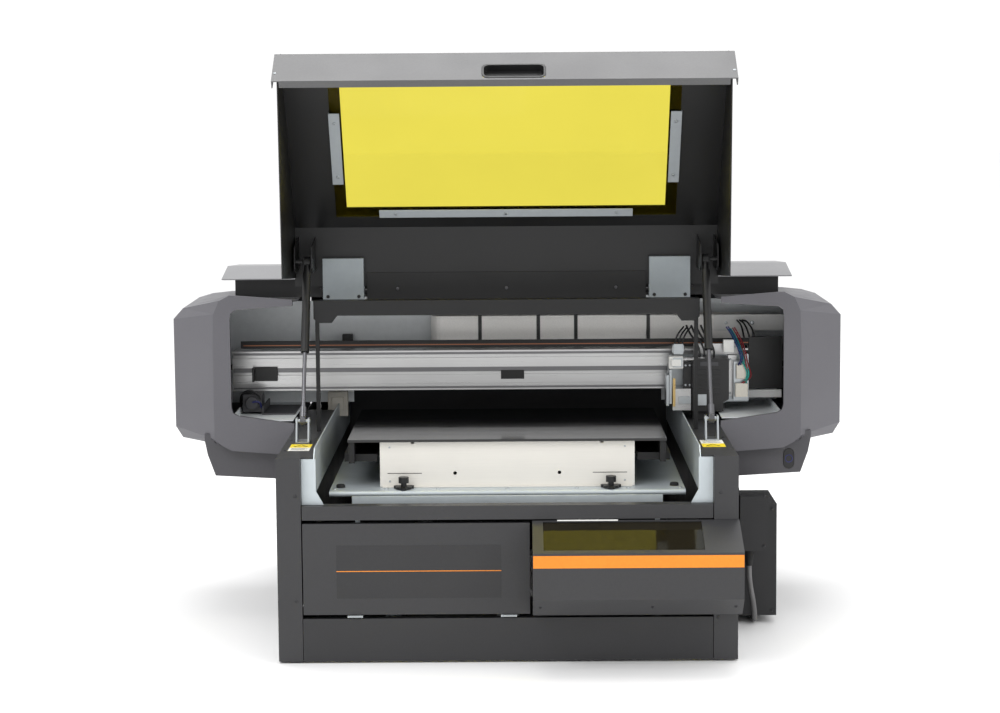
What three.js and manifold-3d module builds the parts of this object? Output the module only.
// Flatbed UV printer: cabinet with two arms, a moving print bed, a gantry with
// plastic wings, and a hinged hood on two gas struts.  Millimetres, +Z up,
// +X to the machine's right seen from the front, +Y towards its back.
import * as THREE from "three";
import { mergeVertices } from "three/addons/utils/BufferGeometryUtils.js";
import Module from "manifold-3d";

const wasm = await Module();
wasm.setup();

// ---- Driving dimensions -------------------------------------------------
// Y is counted from the front plane of the cabinet posts.
const GAP = 0.4; // running gap between neighbours
const SHEET = 2; // folded sheet metal
const CABINET_HALF = 391.4; // outer half-width of the cabinet
const CABINET_BACK = 900;
const ARM_TOP = 353;
const ARM_INNER = 329; // half-width of the bed bay between the arms
const POST_INNER = 350;
const BEAM_TOP = 271; // front crossbeam
const BEAM_BOTTOM = 247;
const DOOR_TOP = 241; // front door and ink bay
const DOOR_BOTTOM = 84;
const DOOR_RIGHT = 37.5;
const KICK_TOP = 77;
const INK_LEFT = 42; // ink cover
const INK_RIGHT = 392.5;
const INK_FRONT = -95;
const BED_LIFT = 70; // travel of the bed lift
const PLATE_HALF = 308; // base plate of the bed
const PLATE_FRONT = 83;
const PLATE_BACK = 482;
const PLATE_TOP = 282;
const PLATE_THICK = 10;
const TABLE_HALF = 277.4; // print table
const TABLE_FRONT = 116;
const TABLE_BACK = 500;
const TABLE_TOP = 366.8;
const TABLE_UNDER = 362.4;
const RISER_HALF = 222;
const RISER_FRONT = 126;
const KNOB_X = 180;
const KNOB_Y = 105;
const RAIL_FRONT = 500; // gantry rail
const RAIL_BOTTOM = 404;
const RAIL_TOP = 479;
const RAIL_HALF = 522;
const LINER_BACK = 620; // bright sheet behind the rail
const WING_FRONT = 357;
const WING_SEAM = 366;
const WING_WIDE = 454; // depth at which the wing reaches its full width
const WING_BACK = 700;
const HEAD_FACE = 369.4; // lowest point of the carriage
const BELT_Y = 586;
const BELT_Z = 440;
const BELT_HALF = 548;
const PULLEY_RADIUS = 14;
const HINGE_Y = 411; // hood hinge axis
const HINGE_Z = 600;
const HOOD_HALF = 391;
const LIP_HALF = 400;
const STRUT_X = 361;
const STRUT_FOOT = [190, 390]; // lower pivot, Y and Z
const STRUT_HEAD = [330, 662]; // upper pivot with the hood open
const STRUT_ROD = 174; // rod length from its eye, short enough to sink in when closed
const HOOD_LIP = [108, 976]; // hood outline, open: Y and Z
const HOOD_CREST = [193.9, 1034];
const HOOD_BEND = [404, 720];
const HOOD_CORNER = [158.7, 644.8];
const CORD_RADIUS = 4.4;
const DEPTH_MID = (INK_FRONT + CABINET_BACK) / 2;

// ---- Colours and finishes -----------------------------------------------
const finish = (color, roughness, metalness) =>
  new THREE.MeshStandardMaterial({ color, roughness, metalness });
const cabinetPaint = finish(0x3b3b3d, 0.55, 0.3);
const wingPlastic = finish(0x69686d, 0.6, 0);
const fasciaPlastic = finish(0x56565a, 0.6, 0);
const hoodPaint = finish(0x1c1c1e, 0.5, 0.3);
const lipPaint = finish(0x8a8a8c, 0.45, 0.3);
const coverPaint = finish(0xbebebe, 0.45, 0.4);
const galvanised = finish(0xc8ced0, 0.35, 0.9);
const aluminium = finish(0xd2d2d2, 0.3, 1);
const brushed = finish(0xdedcd7, 0.4, 0.8);
const blackMetal = finish(0x161617, 0.5, 0.5);
const blackPlastic = finish(0x1a1a1b, 0.5, 0);
const whitePlastic = finish(0xe6e6e2, 0.5, 0);
const glossBlack = finish(0x0c0c0d, 0.12, 0);
const uvAcrylic = finish(0xe8df54, 0.15, 0);
const smokedAcrylic = finish(0x1d1b14, 0.1, 0);
const rubber = finish(0x121212, 0.8, 0);
const steel = finish(0xb8bcc0, 0.3, 1);
const inkBlue = finish(0x2c4a66, 0.5, 0);
const cordGrey = finish(0x6d6d6d, 0.6, 0);

const part = new THREE.Group();
const machine = new THREE.Group();
machine.position.y = -DEPTH_MID;
part.add(machine);

function add(name, geometry, material) {
  const mesh = new THREE.Mesh(geometry, material);
  mesh.name = name;
  machine.add(mesh);
  return mesh;
}

// ---- Shape helpers ------------------------------------------------------
const AXIS_FRAMES = {
  x: new THREE.Matrix4().makeBasis(
    new THREE.Vector3(0, 1, 0),
    new THREE.Vector3(0, 0, 1),
    new THREE.Vector3(1, 0, 0),
  ),
  y: new THREE.Matrix4().makeBasis(
    new THREE.Vector3(1, 0, 0),
    new THREE.Vector3(0, 0, 1),
    new THREE.Vector3(0, -1, 0),
  ),
};

const outline = (points) => new THREE.Shape(points.map(([a, b]) => new THREE.Vector2(a, b)));

function prism(shape, depth) {
  const flat = shape instanceof THREE.Shape ? shape : outline(shape);
  return new THREE.ExtrudeGeometry(flat, { depth, bevelEnabled: false, curveSegments: 6 });
}

// A profile of (Y, Z) points swept along X.
function alongX(profile, x0, x1) {
  return prism(profile, x1 - x0).applyMatrix4(AXIS_FRAMES.x).translate(x0, 0, 0);
}

// A profile of (X, Z) points swept along Y.
function alongY(profile, y0, y1) {
  return prism(profile, y1 - y0).applyMatrix4(AXIS_FRAMES.y).translate(0, y1, 0);
}

// A profile of (X, Y) points swept along Z.
function alongZ(profile, z0, z1) {
  return prism(profile, z1 - z0).translate(0, 0, z0);
}

function block([x0, x1], [y0, y1], [z0, z1]) {
  const box = new THREE.BoxGeometry(x1 - x0, y1 - y0, z1 - z0);
  return box.translate((x0 + x1) / 2, (y0 + y1) / 2, (z0 + z1) / 2);
}

// Round bars along each axis; CylinderGeometry stands on its own Y axis.
function barX([x0, x1], y, z, radius, sides = 20) {
  const bar = new THREE.CylinderGeometry(radius, radius, x1 - x0, sides);
  return bar.rotateZ(-Math.PI / 2).translate((x0 + x1) / 2, y, z);
}
function barY(x, [y0, y1], z, radius, sides = 20) {
  const bar = new THREE.CylinderGeometry(radius, radius, y1 - y0, sides);
  return bar.translate(x, (y0 + y1) / 2, z);
}
function barZ(x, y, [z0, z1], radius, sides = 20) {
  const bar = new THREE.CylinderGeometry(radius, radius, z1 - z0, sides);
  return bar.rotateX(Math.PI / 2).translate(x, y, (z0 + z1) / 2);
}

function toSolid(geometry) {
  const bare = geometry.index ? geometry.toNonIndexed() : geometry.clone();
  bare.deleteAttribute("normal");
  bare.deleteAttribute("uv");
  const merged = mergeVertices(bare, 1e-3);
  const vertProperties = new Float32Array(merged.attributes.position.array);
  const triVerts = new Uint32Array(merged.index.array);
  return new wasm.Manifold(new wasm.Mesh({ numProp: 3, vertProperties, triVerts }));
}

function toGeometry(solid) {
  const mesh = solid.getMesh();
  const geometry = new THREE.BufferGeometry();
  geometry.setAttribute("position", new THREE.BufferAttribute(mesh.vertProperties, 3));
  geometry.setIndex(new THREE.BufferAttribute(mesh.triVerts, 1));
  geometry.computeVertexNormals();
  return geometry;
}

const join = (...shapes) => toGeometry(shapes.map(toSolid).reduce((all, next) => all.add(next)));

function cut(shape, ...tools) {
  const carve = (left, tool) => left.subtract(tool);
  return toGeometry(tools.map(toSolid).reduce(carve, toSolid(shape)));
}

// A folded sheet: the open polyline thickened to one side.
function foldedSheet(points, thickness) {
  const line = points.map(([a, b]) => new THREE.Vector2(a, b));
  const normals = line.slice(1).map((end, i) => {
    const run = end.clone().sub(line[i]).normalize();
    return new THREE.Vector2(-run.y, run.x);
  });
  const offset = line.map((point, i) => {
    const before = normals[Math.max(i - 1, 0)];
    const after = normals[Math.min(i, normals.length - 1)];
    const mitre = before.clone().add(after).normalize();
    return point.clone().addScaledVector(mitre, thickness / mitre.dot(before));
  });
  return new THREE.Shape([...line, ...offset.reverse()]);
}

// The same piece for both sides; side is -1 on the left and 1 on the right.
const SIDES = [
  ["left", -1],
  ["right", 1],
];
const span = (side, a, b) => [Math.min(side * a, side * b), Math.max(side * a, side * b)];
const mirrored = (side, points) => points.map(([x, z]) => [side * x, z]);

// ---- Cabinet ------------------------------------------------------------
const TRAY_BOTTOM = 0;
const TRAY_FLOOR = 8;
const INNER_WALL_TOP = 366; // bright side walls of the bed bay
const INNER_WALL_BOTTOM = 289;
const CABINET_FOOT = 3;

function buildCabinet() {
  // The tray stands on two foot channels pressed into its floor.
  const floor = block([-386, 386], [20, 894], [TRAY_FLOOR - SHEET, TRAY_FLOOR]);
  const feet = [-300, 300].map((x) => block([x - 30, x + 30], [40, 860], [TRAY_BOTTOM, 7]));
  const liners = SIDES.map(([, side]) =>
    block(span(side, ARM_INNER - SHEET, ARM_INNER), [36, 880], [7, INNER_WALL_BOTTOM - 1]),
  );
  add("base_tray", join(floor, ...feet, ...liners), blackMetal);

  for (const [name, side] of SIDES) {
    const outer = block(
      span(side, CABINET_HALF - SHEET, CABINET_HALF),
      [0, CABINET_BACK - SHEET - GAP],
      [CABINET_FOOT, ARM_TOP],
    );
    const post = block(span(side, POST_INNER, CABINET_HALF), [0, SHEET], [CABINET_FOOT, ARM_TOP]);
    const postReturn = block(
      span(side, POST_INNER, POST_INNER + SHEET),
      [0, 14],
      [CABINET_FOOT, ARM_TOP],
    );
    const topFront = block(
      span(side, POST_INNER, CABINET_HALF),
      [0, 40],
      [ARM_TOP - SHEET, ARM_TOP],
    );
    const top = block(
      span(side, ARM_INNER + 2, CABINET_HALF),
      [14, 600],
      [ARM_TOP - SHEET, ARM_TOP],
    );
    add(`${name}_arm_cover`, join(outer, post, postReturn, topFront, top), cabinetPaint);

    const wallProfile = [
      [16, INNER_WALL_BOTTOM],
      [16, 350],
      [36, INNER_WALL_TOP],
      [880, INNER_WALL_TOP],
      [880, INNER_WALL_BOTTOM],
    ];
    const wall = alongX(wallProfile, ...span(side, ARM_INNER - SHEET, ARM_INNER));
    const flangeProfile = mirrored(side, [
      [349.5, BEAM_TOP + GAP],
      [349.5, 350],
      [325, 350],
      [325, 295],
      [312, BEAM_TOP + GAP],
    ]);
    const flange = alongY(flangeProfile, 15, 17);
    add(`${name}_side_wall`, join(wall, flange), galvanised);
  }

  const beamProfile = foldedSheet(
    [
      [34, BEAM_BOTTOM],
      [1, BEAM_BOTTOM],
      [1, BEAM_TOP],
      [26, BEAM_TOP],
    ],
    -SHEET,
  );
  add("front_crossbeam", alongX(beamProfile, -348.5, 348.5), cabinetPaint);

  const kickProfile = foldedSheet(
    [
      [0, CABINET_FOOT],
      [0, KICK_TOP],
      [18, KICK_TOP],
    ],
    -SHEET,
  );
  add("kick_panel", alongX(kickProfile, -349, 349), cabinetPaint);

  const doorProfile = foldedSheet(
    [
      [14, DOOR_BOTTOM],
      [0, DOOR_BOTTOM],
      [0, DOOR_TOP],
      [14, DOOR_TOP],
    ],
    -SHEET,
  );
  add("front_door", alongX(doorProfile, -348, DOOR_RIGHT), cabinetPaint);

  buildRearCover();
}

const SHROUD_FRONT = 712;
const SHROUD_TOP = 600;

function buildRearCover() {
  const profile = foldedSheet(
    [
      [SHROUD_FRONT, SHROUD_TOP],
      [830, SHROUD_TOP],
      [CABINET_BACK, 540],
      [CABINET_BACK, CABINET_FOOT],
    ],
    -SHEET,
  );
  const skin = alongX(profile, -389, 389);
  const cheekProfile = [
    [SHROUD_FRONT, ARM_TOP + GAP],
    [SHROUD_FRONT, SHROUD_TOP],
    [830, SHROUD_TOP],
    [CABINET_BACK, 540],
    [CABINET_BACK, ARM_TOP + GAP],
  ];
  const cheeks = SIDES.map(([, side]) => alongX(cheekProfile, ...span(side, 387, 389)));
  // Two rows of ventilation slots near the foot.
  const slots = [];
  for (let row = 0; row < 2; row += 1) {
    for (let column = 0; column < 8; column += 1) {
      const x = -245 + column * 70;
      slots.push(block([x - 24, x + 24], [890, 910], [150 + row * 26, 158 + row * 26]));
    }
  }
  add("rear_cover", cut(join(skin, ...cheeks), ...slots), cabinetPaint);
}

// ---- Ink bay ------------------------------------------------------------
const INK_REAR = -1.2;
const INK_TOP_REAR = 245;
const INK_TOP_FRONT = 207;
const INK_LOWER_EDGE = 128;
const INK_CHIN = [-60, 95];
const POUCHES = 4;
const INK_WINDOW = { x: [60, 328], inset: [4, 92] };

// Depth and height at a distance down the sloping top of the ink cover.
function onInkTop(distance, lift) {
  const slope = Math.atan2(INK_TOP_REAR - INK_TOP_FRONT, INK_REAR - INK_FRONT);
  const y = INK_REAR - distance * Math.cos(slope) - lift * Math.sin(slope);
  const z = INK_TOP_REAR - distance * Math.sin(slope) + lift * Math.cos(slope);
  return [y, z];
}

function buildInkBay() {
  const face = [
    [INK_REAR, INK_TOP_REAR],
    [INK_FRONT, INK_TOP_FRONT],
    [INK_FRONT, INK_LOWER_EDGE],
    INK_CHIN,
    [INK_REAR, DOOR_BOTTOM],
  ];
  const skin = alongX(foldedSheet(face, SHEET), INK_LEFT, INK_RIGHT);
  const ends = [INK_LEFT, INK_RIGHT - SHEET].map((x) => alongX(face, x, x + SHEET));
  const [near, far] = INK_WINDOW.inset;
  const holeProfile = [onInkTop(near, 6), onInkTop(far, 6), onInkTop(far, -6), onInkTop(near, -6)];
  const hole = alongX(holeProfile, ...INK_WINDOW.x);
  add("ink_cover", cut(join(skin, ...ends), hole), cabinetPaint);

  const below = -SHEET - GAP;
  const paneProfile = [
    onInkTop(near - 2, below),
    onInkTop(far + 5, below),
    onInkTop(far + 5, below - 3),
    onInkTop(near - 2, below - 3),
  ];
  const [left, right] = INK_WINDOW.x;
  add("ink_window", alongX(paneProfile, left - 10, right + 10), smokedAcrylic);

  // Four ink pouches standing side by side in an open-topped rack.
  const rackX = [56, 246];
  const rack = block(rackX, [20, 118], [88, 170]);
  const pitch = (rackX[1] - rackX[0] - SHEET) / POUCHES;
  const bays = [];
  const pouches = [];
  for (let i = 0; i < POUCHES; i += 1) {
    const x0 = rackX[0] + SHEET + i * pitch;
    const x1 = x0 + pitch - SHEET;
    bays.push(block([x0, x1], [22, 116], [90, 175]));
    pouches.push(block([x0 + 3, x1 - 3], [26, 112], [90.5, 178]));
  }
  add("ink_rack", cut(rack, ...bays), blackPlastic);
  const manifoldBar = block([rackX[0] + 6, rackX[1] - 6], [90, 104], [174, 186]);
  add("ink_pouches", join(...pouches, manifoldBar), inkBlue);
}

// ---- Wings --------------------------------------------------------------
const WING_INNER = 392.6;
// Outline of the wing from the front, as (half-width, Z): first where the
// bezel meets it, then at full width.  Both lists pair up point by point.
const WING_FACE = [
  [WING_INNER, 590],
  [508, 599],
  [527, 589],
  [538, 564],
  [540, 500],
  [540, 332],
  [527, 321],
  [508, 311],
  [427, 305],
  [WING_INNER, 303],
];
const WING_FULL = [
  [WING_INNER, 583],
  [542, 579],
  [580, 575],
  [607, 567],
  [625, 547],
  [625, 344],
  [612, 323],
  [573, 315],
  [427, 305],
  [WING_INNER, 303],
];
const WING_WALL = 4;
const OPENING = [
  [WING_INNER, 579],
  [497, 572],
  [506, 566],
  [508, 555],
  [508, 391],
  [505, 381],
  [496, 376],
  [WING_INNER, 361],
];

// Rings of (X, Z) points at given depths, skinned into one closed solid.
function loft(rings) {
  const count = rings[0].points.length;
  const positions = rings.flatMap(({ y, points }) => points.flatMap(([x, z]) => [x, y, z]));
  const faces = [];
  for (let r = 0; r < rings.length - 1; r += 1) {
    for (let i = 0; i < count; i += 1) {
      const a = r * count + i;
      const b = r * count + ((i + 1) % count);
      faces.push(a, b, b + count, a, b + count, a + count);
    }
  }
  const last = (rings.length - 1) * count;
  for (let i = 1; i < count - 1; i += 1) {
    faces.push(0, i + 1, i);
    faces.push(last, last + i, last + i + 1);
  }
  const geometry = new THREE.BufferGeometry();
  geometry.setAttribute("position", new THREE.Float32BufferAttribute(positions, 3));
  geometry.setIndex(faces);
  return faceOutward(geometry);
}

// Turns every triangle over if the solid came out inside out.
function faceOutward(geometry) {
  const index = geometry.index.array;
  const at = (i) => new THREE.Vector3().fromBufferAttribute(geometry.attributes.position, i);
  let volume = 0;
  for (let i = 0; i < index.length; i += 3) {
    volume += at(index[i]).dot(at(index[i + 1]).cross(at(index[i + 2])));
  }
  if (volume < 0) {
    for (let i = 0; i < index.length; i += 3) {
      [index[i], index[i + 1]] = [index[i + 1], index[i]];
    }
  }
  return geometry;
}

// Moves every point inwards, keeping the edge at the cabinet where it is.
function inset(points, by) {
  const [midX, midZ] = [505, 450];
  return points.map(([x, z]) => {
    const nearCabinet = x < WING_INNER + 1;
    const newX = nearCabinet ? x - 10 : x - Math.sign(x - midX) * by;
    return [newX, z - Math.sign(z - midZ) * by];
  });
}

function buildWings() {
  for (const [name, side] of SIDES) {
    const frame = alongY(mirrored(side, WING_FACE), WING_FRONT, WING_SEAM - GAP);
    const openingFront = mirrored(side, [[WING_INNER - 9, 580], ...OPENING, [WING_INNER - 9, 360]]);
    const opening = alongY(openingFront, WING_FRONT - 5, WING_SEAM + 5);
    add(`${name}_wing_bezel`, cut(frame, opening), wingPlastic);

    const rounded = inset(WING_FULL, 12).map(([x, z]) => [Math.max(x, WING_INNER), z]);
    const ring = (points, y) => ({ y, points: mirrored(side, points) });
    const outer = loft([
      ring(WING_FACE, WING_SEAM),
      ring(WING_FULL, WING_WIDE),
      ring(WING_FULL, WING_BACK - 14),
      ring(rounded, WING_BACK),
    ]);
    const inner = loft([
      ring(inset(WING_FACE, WING_WALL), WING_SEAM - 2),
      ring(inset(WING_FULL, WING_WALL), WING_WIDE),
      ring(inset(WING_FULL, WING_WALL), WING_BACK - 14),
      ring(inset(WING_FULL, 14), WING_BACK - WING_WALL),
    ]);
    add(`${name}_wing_cover`, cut(outer, inner), wingPlastic);
    buildFascia(name, side, outer);
  }
}

const FASCIA = [
  [WING_INNER, 340],
  [561, 340],
  [561, 327],
  [556, 301],
  [542, 262],
  [432, 256],
  [WING_INNER, 254],
];
const FASCIA_FRONT = 377;
const FASCIA_BACK = 688;
const BUTTON = { x: 520.5, z: [269, 306], plate: [266, 309], half: 9.5 };

// A pill outline standing on end, in (X, Z).
function pill(x, [z0, z1], half) {
  const shape = new THREE.Shape();
  shape.absarc(x, z1 - half, half, 0, Math.PI, false);
  shape.absarc(x, z0 + half, half, Math.PI, 2 * Math.PI, false);
  return shape;
}

function buildFascia(name, side, wingOuter) {
  const body = alongY(mirrored(side, FASCIA), FASCIA_FRONT, FASCIA_BACK);
  const hollow = FASCIA.map(([x, z]) => [
    x < WING_INNER + 1 ? x + 3 : x - 3,
    z > 320 ? z + 5 : z + 3,
  ]);
  const room = alongY(mirrored(side, hollow), FASCIA_FRONT + 3, FASCIA_BACK - 3);
  const clearance = wingOuter.clone().translate(0, 0, -GAP);
  const filler = alongY(mirrored(side, WING_FACE), WING_FRONT, WING_SEAM + 15).translate(0, 0, -GAP);
  const tools = [room, clearance, filler];
  if (side > 0) {
    const hole = pill(BUTTON.x, [BUTTON.z[0] - 0.6, BUTTON.z[1] + 0.6], BUTTON.half + 0.6);
    tools.push(alongY(hole, FASCIA_FRONT - 5, FASCIA_FRONT + 8));
    const cap = alongY(pill(BUTTON.x, BUTTON.z, BUTTON.half), FASCIA_FRONT - 1.5, FASCIA_FRONT + 6);
    const plate = alongY(pill(BUTTON.x, BUTTON.plate, 12), FASCIA_FRONT + 6, FASCIA_FRONT + 8);
    add("power_button", join(cap, plate), blackPlastic);
  }
  add(`${name}_wing_fascia`, cut(body, ...tools), fasciaPlastic);
}

// ---- Gantry -------------------------------------------------------------
const LINER_FLOOR = 366;
const LINER_SLOT = 414; // top of the notch for the bed
const COVER_HALF = 529;
const FRONT_WALL_Y = 430;
const CHAIN_LEFT = -122;
const CHAIN_RIGHT = 470;
const CHAIN_Z = [488, 538];

function buildGantry() {
  // Bright back sheet, with a floor strip and a short sill inside each wing.
  // The sheet's lower edge is notched so that the table passes under the gantry.
  const middle = block([-335, 335], [LINER_BACK - SHEET, LINER_BACK], [LINER_FLOOR, 584]);
  const wide = block([-548, 548], [LINER_BACK - SHEET, LINER_BACK], [LINER_FLOOR, 564]);
  const floors = SIDES.flatMap(([, side]) => [
    block(span(side, 396, 505), [372, LINER_BACK], [LINER_FLOOR - SHEET, LINER_FLOOR]),
    block(span(side, 503, 505), [372, LINER_BACK], [LINER_FLOOR - SHEET, LINER_FLOOR + 12]),
  ]);
  const bedSlot = block([-300, 300], [LINER_BACK - 5, LINER_BACK + 5], [LINER_FLOOR - 1, LINER_SLOT]);
  add("gantry_liner", join(cut(join(middle, wide), bedSlot), ...floors), galvanised);

  const coverProfile = foldedSheet(
    [
      [420, 624],
      [517, 641],
      [700, 630],
      [708, 612],
    ],
    -SHEET,
  );
  add("top_cover", alongX(coverProfile, -COVER_HALF, COVER_HALF), coverPaint);

  // Black wall under the cover; it carries the two hood hinge pins.
  const wall = block([-505, 505], [FRONT_WALL_Y, FRONT_WALL_Y + SHEET], [588.5, 623]);
  const pins = SIDES.flatMap(([, side]) => [
    barX(span(side, 249, 345), HINGE_Y, HINGE_Z, 5, 24),
    block(span(side, 249, 254), [HINGE_Y - 7, FRONT_WALL_Y + 1], [HINGE_Z - 7, HINGE_Z + 7]),
    block(span(side, 340, 345), [HINGE_Y - 7, FRONT_WALL_Y + 1], [HINGE_Z - 7, HINGE_Z + 7]),
  ]);
  add("gantry_front_wall", join(wall, ...pins), blackMetal);

  const beam = [
    [-349, 593],
    [-349, 561],
    [-341, 553],
    [-316, 553],
    [-306, 566],
    [306, 566],
    [316, 553],
    [341, 553],
    [349, 561],
    [349, 593],
  ];
  const posts = SIDES.map(([, side]) => block(span(side, 340, 347), [311, 319], [ARM_TOP + GAP, 560]));
  add("upper_crossbeam", join(alongY(beam, 300, 330), ...posts), blackMetal);

  buildRail();
  buildChain();
}

function buildRail() {
  const groove = RAIL_FRONT + 5;
  const front = [
    [RAIL_FRONT, RAIL_BOTTOM],
    [RAIL_FRONT, 409],
    [groove, 409],
    [groove, 417],
    [RAIL_FRONT, 417],
    [RAIL_FRONT, 433],
    [groove, 433],
    [groove, 446],
    [RAIL_FRONT, 446],
    [RAIL_FRONT, 465],
    [groove, 465],
    [groove, 472],
    [RAIL_FRONT, 472],
    [RAIL_FRONT, RAIL_TOP],
  ];
  const profile = [...front, [RAIL_FRONT + 60, RAIL_TOP], [RAIL_FRONT + 60, RAIL_BOTTOM]];
  const core = block([-RAIL_HALF - 5, RAIL_HALF + 5], [512, 552], [414, 469]);
  add("rail_beam", cut(alongX(profile, -RAIL_HALF, RAIL_HALF), core), aluminium);
}

// The flat cable chain stands on edge: a front run, a round bend, a rear run.
function buildChain() {
  const outer = 25;
  const inner = 22;
  const middleY = 585;
  const shape = new THREE.Shape();
  shape.moveTo(CHAIN_RIGHT, middleY - outer);
  shape.lineTo(CHAIN_LEFT, middleY - outer);
  shape.absarc(CHAIN_LEFT, middleY, outer, -Math.PI / 2, Math.PI / 2, true);
  shape.lineTo(CHAIN_RIGHT, middleY + outer);
  shape.lineTo(CHAIN_RIGHT, middleY + inner);
  shape.lineTo(CHAIN_LEFT, middleY + inner);
  shape.absarc(CHAIN_LEFT, middleY, inner, Math.PI / 2, -Math.PI / 2, false);
  shape.lineTo(CHAIN_RIGHT, middleY - inner);
  add("cable_chain", alongZ(shape, ...CHAIN_Z), whitePlastic);
}

// ---- Carriage and its drive ----------------------------------------------
function buildCarriage() {
  // Back plate with a hook under the rail that grips the drive belt.
  const plate = block([306, 456], [484, 492], [380, 470]);
  const sidePlate = block([303, 307], [425, 492], [384, 448]);
  const hook = block([398, 413], [484, BELT_Y + 5], [378, 384]);
  const clamp = block([398, 413], [BELT_Y - 16, BELT_Y - 13.6], [380, BELT_Z + 4]);
  const arm = block([310, 328], [430, 490], [452, 470]);
  const tower = block([425, 453], [450, 490], [387, 460]);
  add("carriage_frame", join(plate, sidePlate, hook, clamp, arm, tower), steel);

  const head = [
    [346, HEAD_FACE],
    [404, HEAD_FACE],
    [404, 386],
    [414, 392],
    [414, 468],
    [352, 468],
    [346, 462],
  ];
  add("print_head", alongY(head, 426, 483.6), blackPlastic);
  add("uv_lamp", block([309, 343], [428, 483.6], [HEAD_FACE + 2, 412]), steel);

  // The belt is an upright loop around two pulleys, one on the motor.
  const loop = (radius) => {
    const shape = new THREE.Shape();
    shape.absarc(BELT_HALF, BELT_Y, radius, -Math.PI / 2, Math.PI / 2, false);
    shape.absarc(-BELT_HALF, BELT_Y, radius, Math.PI / 2, (3 * Math.PI) / 2, false);
    return shape;
  };
  const beltInner = PULLEY_RADIUS - 2 + 0.3;
  const beltShape = loop(beltInner + 1.2);
  beltShape.holes.push(loop(beltInner));
  add("drive_belt", alongZ(beltShape, BELT_Z - 4, BELT_Z + 4), rubber);
  const pulleys = [
    ["drive_pulley", BELT_HALF],
    ["idler_pulley", -BELT_HALF],
  ];
  for (const [name, x] of pulleys) {
    const drum = barZ(x, BELT_Y, [BELT_Z - 4.4, BELT_Z + 4.4], PULLEY_RADIUS - 2, 24);
    const rims = [-5.4, 4.4].map((z) =>
      barZ(x, BELT_Y, [BELT_Z + z, BELT_Z + z + 1], PULLEY_RADIUS + 1, 24),
    );
    const bore = barZ(x, BELT_Y, [BELT_Z - 9, BELT_Z + 9], 4.2, 24);
    add(name, cut(join(drum, ...rims), bore), steel);
  }
  const can = barZ(BELT_HALF, BELT_Y, [365, 428], 27, 24);
  const shaft = barZ(BELT_HALF, BELT_Y, [420, 452], 4, 24);
  add("drive_motor", join(can, shaft), blackMetal);

  const cup = block([347, 388], [432, 480], [ARM_TOP + GAP, HEAD_FACE - GAP]);
  add("capping_station", cut(cup, block([351, 384], [436, 476], [362, 380])), rubber);
}

// ---- Print bed -----------------------------------------------------------
const COLUMN_X = 150;
const COLUMN_Y = [200, 420];
const BED_RAIL_X = 200;

const bedColumns = (radius, z) =>
  [-COLUMN_X, COLUMN_X].flatMap((x) => COLUMN_Y.map((y) => barZ(x, y, z, radius, 20)));

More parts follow.
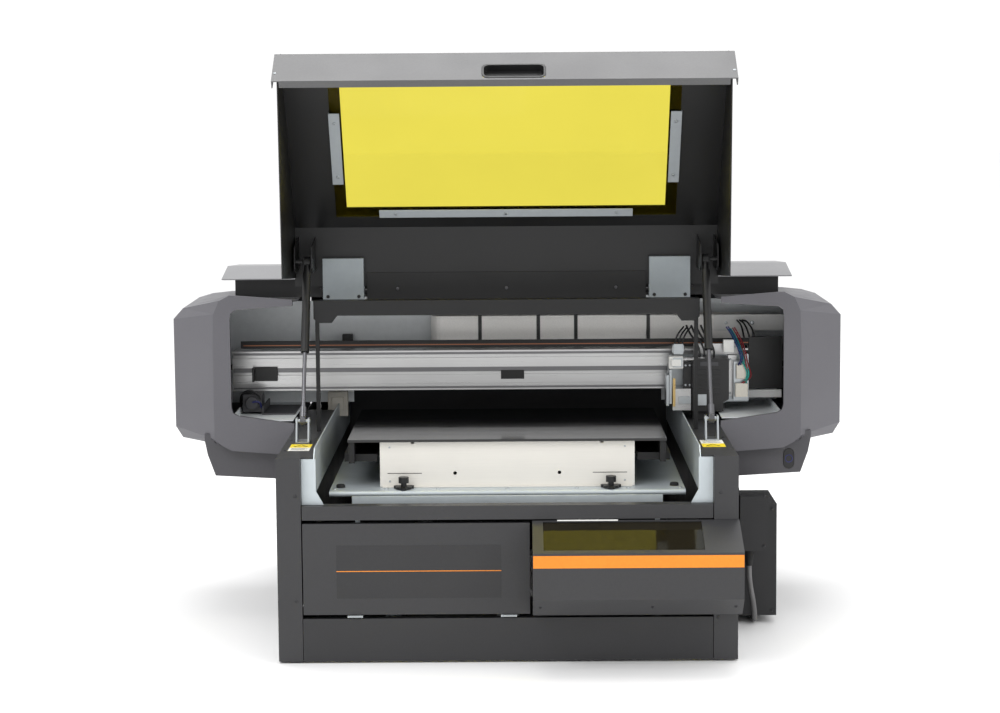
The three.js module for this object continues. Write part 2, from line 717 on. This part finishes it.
function buildBed() {
  // Two rails on the tray, cross ties, and the bright front bar on its legs.
  const rails = [-BED_RAIL_X, BED_RAIL_X].map((x) =>
    block([x - 10, x + 10], [50, 880], [TRAY_FLOOR + GAP, 72]),
  );
  const ties = [90, 860].map((y) => block([-215, 215], [y, y + 14], [TRAY_FLOOR + GAP, 20]));
  const bar = block([-267, 267], [60, 66], [261, 277]);
  const legs = [-258, 258].map((x) => block([x - 4, x + 4], [60, 66], [TRAY_FLOOR + GAP, 262]));
  const feet = [-1, 1].map((side) =>
    block(span(side, 195, 262), [60, 66], [TRAY_FLOOR + GAP, 20]),
  );
  add("bed_rail_frame", join(...rails, ...ties, bar, ...legs, ...feet), galvanised);

  const deck = block([-230, 230], [160, 460], [78, 90]);
  const runners = [-BED_RAIL_X, BED_RAIL_X].flatMap((x) => [
    block([x - 16, x - 10.5], [170, 450], [60, 79]),
    block([x + 10.5, x + 16], [170, 450], [60, 79]),
  ]);
  const sleeves = bedColumns(18, [89, 186]);
  const bores = bedColumns(12.6, [60, 200]);
  add("bed_carriage", cut(join(deck, ...runners, ...sleeves), ...bores), aluminium);

  const columns = bedColumns(12, [30 + BED_LIFT, 266]);
  const crossX = [200, 420].map((y) => block([-280, 280], [y - 15, y + 15], [262, 271.6]));
  const crossY = [-150, 150].map((x) => block([x - 15, x + 15], [180, 440], [262, 271.6]));
  add("lift_frame", join(...columns, ...crossX, ...crossY), aluminium);

  const lip = PLATE_THICK / 2;
  const middle = PLATE_TOP - lip;
  const plateShape = new THREE.Shape();
  plateShape.absarc(PLATE_FRONT + lip, middle, lip, Math.PI / 2, (3 * Math.PI) / 2, false);
  plateShape.lineTo(PLATE_BACK, middle - lip);
  plateShape.lineTo(PLATE_BACK, middle + lip);
  add("base_plate", alongX(plateShape, -PLATE_HALF, PLATE_HALF), galvanised);

  const riser = block([-RISER_HALF, RISER_HALF], [RISER_FRONT, 478], [PLATE_TOP + GAP, 362]);
  const riserRoom = block([-RISER_HALF + 3, RISER_HALF - 3], [RISER_FRONT + 3, 475], [200, 359]);
  const holes = [-91, 91].map((x) => barY(x, [RISER_FRONT - 5, RISER_FRONT + 8], 306, 3.2, 16));
  const notches = [-165, 165].map((x) =>
    block([x - 3, x + 3], [RISER_FRONT - 5, RISER_FRONT + 8], [358, 365]),
  );
  add("riser_box", cut(riser, riserRoom, ...holes, ...notches), brushed);

  const top = block([-TABLE_HALF, TABLE_HALF], [TABLE_FRONT, TABLE_BACK], [TABLE_UNDER, TABLE_TOP]);
  add("table_top", top, glossBlack);

  const skirts = SIDES.flatMap(([, side]) => [
    block(span(side, 266, 276), [TABLE_FRONT + 4, 494], [325, 362]),
    block(span(side, 228, 285), [TABLE_FRONT + 26, 494], [325, 338]),
  ]);
  const rear = block([-270, 270], [484, 494], [325, 362]);
  add("table_frame", join(...skirts, rear), blackMetal);

  for (const [name, side] of SIDES) {
    const x = side * KNOB_X;
    const lobes = [0, 1, 2].map((i) => {
      const angle = (i * 2 * Math.PI) / 3 + Math.PI / 6;
      const [dx, dy] = [13 * Math.cos(angle), 13 * Math.sin(angle)];
      return barZ(x + dx, KNOB_Y + dy, [PLATE_TOP + GAP, 287], 6.5, 16);
    });
    const disc = barZ(x, KNOB_Y, [PLATE_TOP + GAP, 287], 14, 24);
    const neck = barZ(x, KNOB_Y, [286, 294], 5, 16);
    const cap = barZ(x, KNOB_Y, [293, 303], 9, 24);
    add(`${name}_levelling_knob`, join(disc, ...lobes, neck, cap), blackPlastic);
  }
}

// ---- Hood ----------------------------------------------------------------
const lipRun = Math.hypot(HOOD_CREST[0] - HOOD_LIP[0], HOOD_CREST[1] - HOOD_LIP[1]);

// A point along one straight panel of the hood and off its inner face.
function onPanel(from, to, distance, inward) {
  const run = Math.hypot(to[0] - from[0], to[1] - from[1]);
  const [dy, dz] = [(to[0] - from[0]) / run, (to[1] - from[1]) / run];
  return [from[0] + dy * distance + dz * inward, from[1] + dz * distance - dy * inward];
}
const onMain = (distance, inward) => onPanel(HOOD_CREST, HOOD_BEND, distance, inward);
const onLip = (distance, inward) => onPanel(HOOD_LIP, HOOD_CREST, distance, inward);

function panelBar(place, [d0, d1], [i0, i1], [x0, x1]) {
  return alongX([place(d0, i0), place(d1, i0), place(d1, i1), place(d0, i1)], x0, x1);
}

const LIP_START = 20; // the lip's lower edge, from HOOD_LIP towards the crest
const WINDOW_HALF = 291.5;
const WINDOW_RUN = [24, 334];
const GRIP = { x: [-37, 69], run: [27, 65] };

function buildHood() {
  const sheetLine = [onMain(2.5, 0), HOOD_BEND, [HOOD_BEND[0], 611]];
  const skin = alongX(foldedSheet(sheetLine, -SHEET), -HOOD_HALF, HOOD_HALF);
  const cheekProfile = [
    onLip(LIP_START + 7, 3),
    onLip(lipRun - 3, 3),
    onMain(3, 1),
    [HOOD_BEND[0] - 1, HOOD_BEND[1]],
    [HOOD_BEND[0] - 1, 626],
    HOOD_CORNER,
  ];
  const cheeks = SIDES.map(([, side]) =>
    alongX(cheekProfile, ...span(side, HOOD_HALF - SHEET, HOOD_HALF)),
  );
  const bracketProfile = [
    [403, 642],
    [403, 702],
    [322, 690],
    [316, 676],
    [316, 650],
    [326, 642],
  ];
  const brackets = SIDES.flatMap(([, side]) => [
    alongX(bracketProfile, ...span(side, 351, 353)),
    alongX(bracketProfile, ...span(side, 382, 384)),
    barX(span(side, 370, 383), STRUT_HEAD[0], STRUT_HEAD[1], 4, 16),
  ]);
  const windowHole = panelBar(onMain, WINDOW_RUN, [-6, 6], [-WINDOW_HALF, WINDOW_HALF]);
  add("hood_shell", cut(join(skin, ...cheeks, ...brackets), windowHole), hoodPaint);

  // Lighter front panel: a shallow tray wider than the shell, with a grip slot.
  const lip = panelBar(onLip, [LIP_START, lipRun], [0, SHEET], [-LIP_HALF, LIP_HALF]);
  const lipReturn = panelBar(
    onLip,
    [LIP_START, LIP_START + SHEET],
    [0, 14],
    [-HOOD_HALF + 4, HOOD_HALF - 4],
  );
  const lipEnds = SIDES.map(([, side]) =>
    panelBar(onLip, [LIP_START + 0.5, lipRun - 1], [0.5, 15], span(side, LIP_HALF - SHEET, LIP_HALF)),
  );
  const slot = panelBar(onLip, GRIP.run, [-5, 12], GRIP.x);
  add("hood_front", cut(join(lip, lipReturn, ...lipEnds), slot), lipPaint);

  const pane = panelBar(onMain, [20, 350], [SHEET + GAP, SHEET + GAP + 3], [-311, 311]);
  add("hood_window", pane, uvAcrylic);

  for (const [name, side] of SIDES) {
    const width = span(side, 263, 338);
    const shell = block(width, [386, 401.6], [584, 663]);
    const knuckle = barX(width, HINGE_Y, HINGE_Z, 9.5, 24);
    const neck = block(width, [400, HINGE_Y], [592, 606]);
    const bore = barX(span(side, 250, 340), HINGE_Y, HINGE_Z, 5.3, 24);
    const cover = cut(join(shell, knuckle, neck), bore);
    add(`${name}_hinge_cover`, cover, galvanised);
  }
}

// ---- Gas struts ----------------------------------------------------------
const strutReach = Math.hypot(
  STRUT_HEAD[0] - STRUT_FOOT[0],
  STRUT_HEAD[1] - STRUT_FOOT[1],
);
const strutLean = Math.atan2(STRUT_HEAD[1] - STRUT_FOOT[1], STRUT_HEAD[0] - STRUT_FOOT[0]);

// A piece drawn upright at the origin, laid along the strut from its foot.
function alongStrut(geometry, side) {
  return geometry
    .rotateX(strutLean - Math.PI / 2)
    .translate(side * STRUT_X, STRUT_FOOT[0], STRUT_FOOT[1]);
}

function buildStruts() {
  const eyeHole = (z) => barX([-12, 12], 0, z, 4.3, 24);
  for (const [name, side] of SIDES) {
    const rodEye = barX([-5, 5], 0, 0, 9, 24);
    const rodFitting = barZ(0, 0, [6, 26], 6, 16);
    const rodBar = barZ(0, 0, [24, STRUT_ROD], 3.6, 16);
    const rod = cut(join(rodEye, rodFitting, rodBar), eyeHole(0));
    add(`${name}_strut_rod`, alongStrut(rod, side), steel);

    const tube = barZ(0, 0, [130, strutReach - 22], 7.5, 20);
    const cap = barZ(0, 0, [strutReach - 24, strutReach - 6], 5.5, 16);
    const headEye = barX([-5, 5], 0, strutReach, 9, 24);
    const bore = barZ(0, 0, [120, strutReach - 26], 4, 20);
    const cylinder = cut(join(tube, cap, headEye), bore, eyeHole(strutReach));
    add(`${name}_strut_cylinder`, alongStrut(cylinder, side), blackMetal);

    const [y, z] = STRUT_FOOT;
    const ear = [
      [y - 20, ARM_TOP + GAP],
      [y - 8, z + 6],
      [y + 8, z + 6],
      [y + 14, ARM_TOP + GAP],
    ];
    const ears = [-12, 9].map((x) => alongX(ear, side * STRUT_X + x, side * STRUT_X + x + 3));
    const base = block(
      [side * STRUT_X - 12, side * STRUT_X + 12],
      [y - 20, y + 14],
      [ARM_TOP + GAP, ARM_TOP + 3],
    );
    const pin = barX([side * STRUT_X - 13, side * STRUT_X + 13], y, z, 4, 24);
    add(`${name}_strut_clevis`, join(...ears, base, pin), steel);
  }
}

// ---- Electrical boxes and mains lead --------------------------------------
const CORD_EXIT = [436, 255];
const RELIEF_TOP = 142.6;
const RELIEF_BOTTOM = 112;
const COIL_RADIUS = 48;
const COIL_CENTRE = [330, 985];
const COIL_HEIGHT = 17.8;

function buildBoxes() {
  add("large_electrical_box", block([392.4, 488], [280, 425], [14, 220]), cabinetPaint);
  const box = block([417, 468], [232, 279.6], [143, 242]);
  const bracket = block([392.4, 418], [262, 276], [226, 252]);
  add("small_electrical_box", join(box, bracket), blackMetal);
}

function buildCord() {
  const [x, y] = CORD_EXIT;
  const relief = new THREE.LatheGeometry(
    [
      [0, RELIEF_BOTTOM],
      [6, RELIEF_BOTTOM],
      [9, RELIEF_TOP - 8],
      [11, RELIEF_TOP - 8],
      [11, RELIEF_TOP],
      [0, RELIEF_TOP],
    ].map(([r, z]) => new THREE.Vector2(r, z)),
    16,
  );
  add("strain_relief", relief.rotateX(Math.PI / 2).translate(x, y, 0), rubber);

  // Down to the bench, back along the machine's side, round to the coil.
  const bench = CORD_RADIUS + 0.2;
  const route = [
    [x, y, RELIEF_BOTTOM - GAP],
    [x + 0.5, y, 92],
    [x + 3, y - 1, 70],
    [x + 7, y - 1, 48],
    [x + 10, y + 3, 27],
    [x + 12, y + 16, 11],
    [x + 12.5, y + 36, bench + 0.6],
    [x + 12.5, y + 62, bench],
    [x + 11, y + 120, bench],
    [x + 9, y + 200, bench],
    [x + 12, y + 300, bench],
    [x + 13, y + 400, bench],
    [x + 13, y + 500, bench],
    [x + 9, y + 595, bench],
    [x, y + 635, bench],
    [x - 14, y + 663, bench],
    [x - 31, y + 685, bench],
    [x - 48.8, y + 708.9, bench],
  ].map((point) => new THREE.Vector3(...point));
  const path = new THREE.CatmullRomCurve3(route, false, "centripetal");
  const section = new THREE.Shape();
  section.absarc(0, 0, CORD_RADIUS, 0, 2 * Math.PI, false);
  const tube = new THREE.ExtrudeGeometry(section, {
    steps: 48,
    extrudePath: path,
    bevelEnabled: false,
    curveSegments: 5,
  });
  add("mains_cord", tube, cordGrey);

  const half = CORD_RADIUS * 2;
  const ring = new THREE.LatheGeometry(
    [
      [COIL_RADIUS - half, 0.2],
      [COIL_RADIUS + half, 0.2],
      [COIL_RADIUS + half, COIL_HEIGHT],
      [COIL_RADIUS - half, COIL_HEIGHT],
      [COIL_RADIUS - half, 0.2],
    ].map(([r, z]) => new THREE.Vector2(r, z)),
    32,
  );
  add("cord_coil", ring.rotateX(Math.PI / 2).translate(...COIL_CENTRE, 0), cordGrey);

  const plugX = COIL_CENTRE[0] - COIL_RADIUS - half - GAP;
  const plug = block([plugX - 38, plugX], [COIL_CENTRE[1] - 14, COIL_CENTRE[1] + 14], [0.2, 22]);
  const blades = [-7, 7].map((dy) => {
    const middle = COIL_CENTRE[1] + dy;
    return block([plugX - 56, plugX - 37], [middle - 0.8, middle + 0.8], [8, 14]);
  });
  add("mains_plug", join(plug, ...blades), blackPlastic);
}

buildCabinet();
buildInkBay();
buildWings();
buildGantry();
buildCarriage();
buildBed();
buildHood();
buildStruts();
buildBoxes();
buildCord();

export default part;
